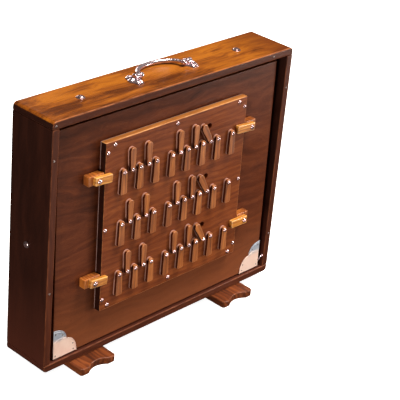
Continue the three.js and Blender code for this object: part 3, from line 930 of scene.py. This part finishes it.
def make_latches():
    heads = []
    for place, (inner, outer, turn, above) in LATCHES.items():
        body = f"button_{place}"
        pivot = BOARD.inverted() @ (PIVOTS[body] / MM)
        side = math.copysign(1, pivot.x)
        left, right = (-outer, inner) if side < 0 else (-inner, outer)
        outline = rectangle(left, -BUTTON_HALF_HEIGHT, right, BUTTON_HALF_HEIGHT)
        matrix = BOARD @ moved(*pivot) @ turned(turn, "Y")
        made = build(f"latch_{place}", extruded(outline, 0.1, -BUTTON_THICK, 0.9, 3), ["button_wood"], matrix)
        settle(set_grain(made, "X"), body, "latch_wood", f"turn_button_{place}")

        ends = sorted((side * BLOCK_INNER, pivot.x + side * BLOCK_OUTER))
        block = extruded(rectangle(ends[0], pivot.z - BLOCK_BELOW, ends[1], pivot.z + above),
                         -BOARD_THICK - 0.02, REED_FACE - 0.05, 0.9, 3)
        made = build(f"latch_block_{place}", block, ["block_wood"], BOARD)
        settle(set_grain(made, "Z"), "reservoir", "latch_block_wood")
        on_button = facing(BOARD, pivot.x, pivot.z, pivot.y - BUTTON_THICK)
        heads.append((screw_head(3.1, 2.2, 0.8, pivot.z), on_button, 0))
    fasten("latch_screws", "reservoir", heads)


def make_corner_plates():
    """Pressed sheet corners: two lobes, a rolled bead along the free edge and a pressed arc between."""
    width, height, notch_x, notch_z = PLATE_WIDTH, PLATE_HEIGHT, PLATE_NOTCH_X, PLATE_NOTCH_Z
    notch = (-notch_x, notch_z)
    upper = bezier([(0, height), (-0.55 * notch_x, height), (-notch_x, 0.85 * height), notch], 12)
    lower = bezier([notch, (-1.45 * notch_x, notch_z), (-width, 0.6 * notch_z), (-width, 0)], 12)
    ridge = bezier([notch, (-13, notch_z + 5), (-6, notch_z + 4), (-1.2, notch_z - 1)], 12)
    rim = bezier([(0, height - 2.4), (-0.5 * notch_x, height - 2.4), (2.4 - notch_x, 0.84 * height),
                  (2.4 - notch_x, notch_z + 3)], 12)
    for side, sign in SIDES:
        outline = [(sign * (BOARD_HALF + x), z) for x, z in [(0, 0)] + upper + lower[1:]]
        if sign < 0:
            outline.reverse()
        parts = [(extruded(outline, 0, -PLATE_THICK, 0.3, 2), None, 0)]
        for line in (upper, lower, ridge, rim):
            bead = [(sign * (BOARD_HALF + x), 0, z) for x, z in line]
            parts.append((sweep(bead, [0.45] * len(bead), 10), moved(y=-0.75), 0))
        place = BOARD @ moved(y=-BOARD_THICK - 0.05)
        made = build(f"corner_sheet_{side}", gathered(parts), ["nickel_sheet"], place)
        settle(made, "reservoir", "nickel_sheet", f"corner_plate_{side}")
    nails = []
    for _, sign in SIDES:
        for x, z in PLATE_NAILS:
            place = facing(BOARD, sign * (BOARD_HALF - x), z, -BOARD_THICK - PLATE_THICK)
            nails.append((lathe([(0, -0.2), (1.1, -0.2), (1.0, 0.2), (0.6, 0.45), (0, 0.55)], 12), place, 0))
    fasten("corner_nails", "reservoir", nails, "steel_nail")


# ---- pump board and bellows ----


def make_pump():
    shape = extruded(rectangle(-BOARD_HALF, 0, BOARD_HALF, PUMP_HEIGHT), BOARD_THICK, 0, 1.2, 3)
    place = moved(*PUMP_HINGE)
    board = build("pump_panel", shape, ["board_wood"], place)
    drilled(board, INTAKE_PLACES, INTAKE_RADIUS, 28, place)
    settle(set_grain(board, "X"), "pump", "dark_walnut", "pump_board")


def reservoir_back(z):
    """Y just behind the leaning reservoir board at a height."""
    return HINGE.y + (z - HINGE.z) * math.tan(math.radians(RECLINE)) + 0.4


def blended(made, moving, start, end, slot, *nodes):
    """Fabric or wire from the case to a moving board, from point start to point end in millimetres."""
    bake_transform(made, "case", moving, start=tuple(v * MM for v in start), end=tuple(v * MM for v in end))
    if nodes:
        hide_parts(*nodes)


def make_bellows(name, node, moving, case_y, board_at):
    """Pleated leather between the centre board and a moving board. board_at(z) is that board's Y."""
    pleats, fold_depth, thick = 4, 9.0, 1.6
    levels = 2 * pleats
    low, high = box_mm(node)
    bm = fresh()
    outer_rings, inner_rings = [], []
    for level in range(levels + 1):
        t = level / levels
        fold = 0.0 if level % 2 == 0 else fold_depth
        for rings, inset in ((outer_rings, fold), (inner_rings, fold + thick)):
            outline = rounded_rectangle(low.x + inset, low.z + inset, high.x - inset, high.z - inset, 6, 5)
            rings.append([bm.verts.new((x, case_y + (board_at(z) - case_y) * t, z)) for x, z in outline])
    for rings in (outer_rings, inner_rings):
        for first, second in zip(rings, rings[1:]):
            bridge(bm, first, second)
    for end in (0, -1):
        bridge(bm, outer_rings[end], inner_rings[end])
    bmesh.ops.recalc_face_normals(bm, faces=bm.faces)
    made = build(name, bm, ["black_leather"], smooth=False)
    middle = (low.z + high.z) / 2
    start, end = (0, case_y, middle), (0, board_at(middle), middle)
    blended(made, moving, start, end, "black_leather", node)


# ---- inside ----


def make_reeds():
    """A brass plate with a riveted tongue behind each air hole, inside the reservoir board's window."""
    rivet = lathe([(0, -0.1), (1.5, -0.1), (1.4, 0.4), (0.8, 0.8), (0, 0.9)], 12)
    back = REED_BACK + 1.3
    plates = []
    for node in lever_nodes():
        pivot, up = lever_place(node), points_up(node)
        hole = pivot.z + up * AIR_HOLE_REACH
        low, high = sorted((hole + up * 4, hole - up * 25))
        plate = extruded(rectangle(-4.5, low, 4.5, high), REED_BACK + 0.02, back, 0.25, 1)
        tongue = extruded(rectangle(-1.7, low + 5, 1.7, high - 3.5), back + 0.02, back + 0.3, 0.05, 1)
        along, fixed = moved(pivot.x), moved(pivot.x, back + 0.3, low + 7) @ turned(-90, "X")
        plates += [(plate, along, 0), (tongue, along, 0), (rivet, fixed, 0)]
    settle(build("reeds", gathered(plates), ["brass"], BOARD), "reservoir", "brass")


def flap(name, width, height, place, body):
    """A leather flap that hangs over holes, under a wooden strip along its top edge."""
    x, z = width / 2, height / 2
    sheet = extruded(rounded_rectangle(-x, -z, x, z, 3, 4), 0, -1.2, 0.3, 2)
    strip = extruded(rectangle(-x, z - 7, x, z), -1.22, -3.4, 0.5, 2)
    parts = gathered([(sheet, None, 0), (strip, None, 1)])
    made = build(name, parts, ["cream_leather", "reed_board_wood"], place)
    settle(set_grain(made, "X"), body, "cream_leather")


def make_valves():
    front = CENTRE_FRONT - 0.05
    for x, z in VALVE_PLACES:
        side, level = "left" if x < 0 else "right", "lower" if z < 200 else "upper"
        flap(f"valve_{side}_{level}", 34, 40, moved(x, front, z), "case")
    flap("intake_valve", 92, 66, moved(*PUMP_HINGE) @ moved(0, -0.05, 150), "pump")


def make_springs():
    """Conical springs that push the pump board out and the reservoir board in."""
    turns, steps, wire, wide, narrow, height = 4, 96, 0.7, 16, 8, 200
    clear = wire + 0.2
    for name, moving, near, far in (
        ("pump_springs", "pump", CENTRE_BACK + clear, PUMP_HINGE.y - clear),
        ("reservoir_springs", "reservoir", CENTRE_FRONT - clear, reservoir_back(height) + clear),
    ):
        parts = []
        for x in (-60, 60):
            coil = []
            for k in range(steps + 1):
                t = k / steps
                radius, turn = wide - (wide - narrow) * t, 2 * math.pi * turns * t
                across, up = radius * math.cos(turn), radius * math.sin(turn)
                coil.append((x + across, near + (far - near) * t, height + up))
            parts.append((tube(coil, wire), None, 0))
        made = build(name, gathered(parts), ["steel_nail"])
        blended(made, moving, (0, near, height), (0, far, height), "spring_steel")


def make_hinge_strips():
    """Cloth-backed leather along the bottom inside edge of each board."""
    thick, columns, floor_z = 0.8, 12, CASE_LOW.z + WALL + 0.05
    rows = [(10, 0), (6, 0), (2, 0), (0.8, 0.5), (0.2, 2), (0, 4), (0, 8), (0, 13)]
    for moving, back, sign in (("reservoir", HINGE.y + 0.5, 1), ("pump", PUMP_HINGE.y - 0.5, -1)):
        bm = fresh()
        layers = []
        for skin in (0, thick):
            layer = []
            for out, up in rows:
                y, z = (out + skin, up) if up > 1 else (out, up + skin)
                layer.append([bm.verts.new((x, back + sign * y, floor_z + z))
                              for x in np.linspace(4 - BOARD_HALF, BOARD_HALF - 4, columns + 1)])
            layers.append(layer)
        low, high = layers
        last = len(rows) - 1
        for row in range(last):
            for k in range(columns):
                for layer in layers:
                    bm.faces.new([layer[row][k], layer[row][k + 1], layer[row + 1][k + 1], layer[row + 1][k]])
            for k in (0, columns):
                bm.faces.new([low[row][k], low[row + 1][k], high[row + 1][k], high[row][k]])
        for row in (0, last):
            for k in range(columns):
                bm.faces.new([low[row][k], low[row][k + 1], high[row][k + 1], high[row][k]])
        bmesh.ops.recalc_face_normals(bm, faces=bm.faces)
        made = build(f"{moving}_hinge_strip", bm, ["black_leather"])
        blended(made, moving, (0, back, floor_z + 1.5), (0, back, floor_z + 6), "black_leather")


def make_hook():
    """A small wire hook that reaches from the reservoir board's corner to the right wall."""
    wall = CASE_HALF - WALL
    y, z = HINGE.y - BOARD_THICK - 1.2, 36.0
    bends = ((1.5, 0, 0), (-1.2, 0, 0.3), (-3.0, -0.6, 0.4), (-5.0, -0.9, -0.6), (-6.3, -0.9, -2.2),
             (-6.6, -0.7, -4.4))
    wire = tube([(wall + out, y + ahead, z + up) for out, ahead, up in bends], 0.75, 10)
    eye = lathe([(0, -0.2), (2.1, -0.2), (2.1, 0.3), (1.6, 0.7), (0, 0.8)], 16)
    parts = gathered([(wire, None, 0), (eye, moved(wall, y, z) @ turned(-90, "Y"), 0)])
    settle(build("board_hook", parts, ["chrome"]), "reservoir", "chrome")


def make_case_nails():
    """Headed nails in the front edges of the top and the sides."""
    nail = lathe([(0, -0.3), (1.3, -0.3), (1.2, 0.2), (0.7, 0.5), (0, 0.6)], 12)
    nails = [(nail, facing(IDENTITY, x, z, FRONT_Y), 0) for x, z in CASE_NAILS]
    fasten("case_nails", "case", nails, "steel_nail")


# ---- studio ----

FLOOR_HALF = 8.0
CAMERA_PLACE = (-1.1107, -1.0717, 0.9737)
CAMERA_AZIMUTH = -48.22
CAMERA_ELEVATION = 27.41
CAMERA_ROLL = 5.47
CAMERA_LENS = 125.2
LAMP_AIM = Vector((0, 0, 0.17))
LAMP_COLOUR = (1.0, 0.93, 0.86)
WARM_COLOUR = (1.0, 0.92, 0.85)
LAMPS = (  # name, place, size, power and colour
    ("key", (1.0, -0.85, 0.2), 0.4, 12, WARM_COLOUR),
    ("overhead", (1.0, -0.95, 4.0), 1.8, 325, LAMP_COLOUR),
    ("side", (-1.4, -0.4, 0.06), 0.5, 22, WARM_COLOUR),
    ("bounce", (0.05, -0.5, 0.02), 0.4, 0.7, WARM_COLOUR),
    ("back", (0.5, 1.7, 0.3), 0.9, 20, LAMP_COLOUR),
)


def make_studio():
    data = bpy.data.cameras.new("camera")
    data.lens, data.sensor_width, data.clip_end = CAMERA_LENS, 36.0, 50.0
    camera = bpy.data.objects.new("camera", data)
    SCENE.collection.objects.link(camera)
    turn = turned(CAMERA_AZIMUTH, "Z") @ turned(90 - CAMERA_ELEVATION, "X") @ turned(CAMERA_ROLL, "Z")
    camera.matrix_world = moved(*CAMERA_PLACE) @ turn
    SCENE.camera = camera

    world = bpy.data.worlds.new("studio")
    world.use_nodes = True
    background = world.node_tree.nodes["Background"].inputs
    background["Color"].default_value = (*LAMP_COLOUR, 1)
    background["Strength"].default_value = 0.045
    SCENE.world = world
    SCENE.view_settings.view_transform = "Standard"

    for name, place, size, energy, colour in LAMPS:
        lamp = bpy.data.lights.new(name, "AREA")
        lamp.shape, lamp.size, lamp.energy, lamp.color = "SQUARE", size, energy, colour
        made = bpy.data.objects.new(name, lamp)
        SCENE.collection.objects.link(made)
        made.visible_camera = False
        made.location = place
        made.rotation_mode = "QUATERNION"
        made.rotation_quaternion = (LAMP_AIM - Vector(place)).to_track_quat("-Z", "Y")

    bm = bmesh.new()
    bmesh.ops.create_grid(bm, x_segments=1, y_segments=1, size=FLOOR_HALF)
    mesh = bpy.data.meshes.new("floor")
    bm.to_mesh(mesh)
    bm.free()
    floor = bpy.data.objects.new("floor", mesh)
    SCENE.collection.objects.link(floor)
    g = Graph("floor")
    place = g.place()
    tone = g.mix(g.noise(g.scaled(place, (3, 3, 3))), (0.86, 0.86, 0.86, 1), (0.9, 0.9, 0.9, 1))
    dust = g.bump(g.noise(g.scaled(place, (400, 400, 400))), 0.02, 0.0002)
    mesh.materials.append(g.surface(tone, 0.9, dust, specular_ior_level=0.1, emission_strength=0.9,
                                    emission_color=(1.0, 1.0, 1.0, 1.0)))
    floor.visible_diffuse = False
    floor.visible_glossy = False


make_studio()
make_case()
make_case_screws()
make_case_nails()
make_hook()
make_handle()
make_feet()
make_front_board()
make_reed_board()
for lever_node in lever_nodes():
    make_lever(lever_node)
make_lever_screws()
make_panel_screws()
make_latches()
make_corner_plates()
make_pump()
make_bellows("reservoir_pleats", "reservoir_bellows", "reservoir", CENTRE_FRONT - GAP, reservoir_back)
make_bellows("pump_pleats", "pump_bellows", "pump", CENTRE_BACK + GAP, lambda z: PUMP_HINGE.y - 0.2)
make_reeds()
make_valves()
make_springs()
make_hinge_strips()

bpy.context.view_layer.update()
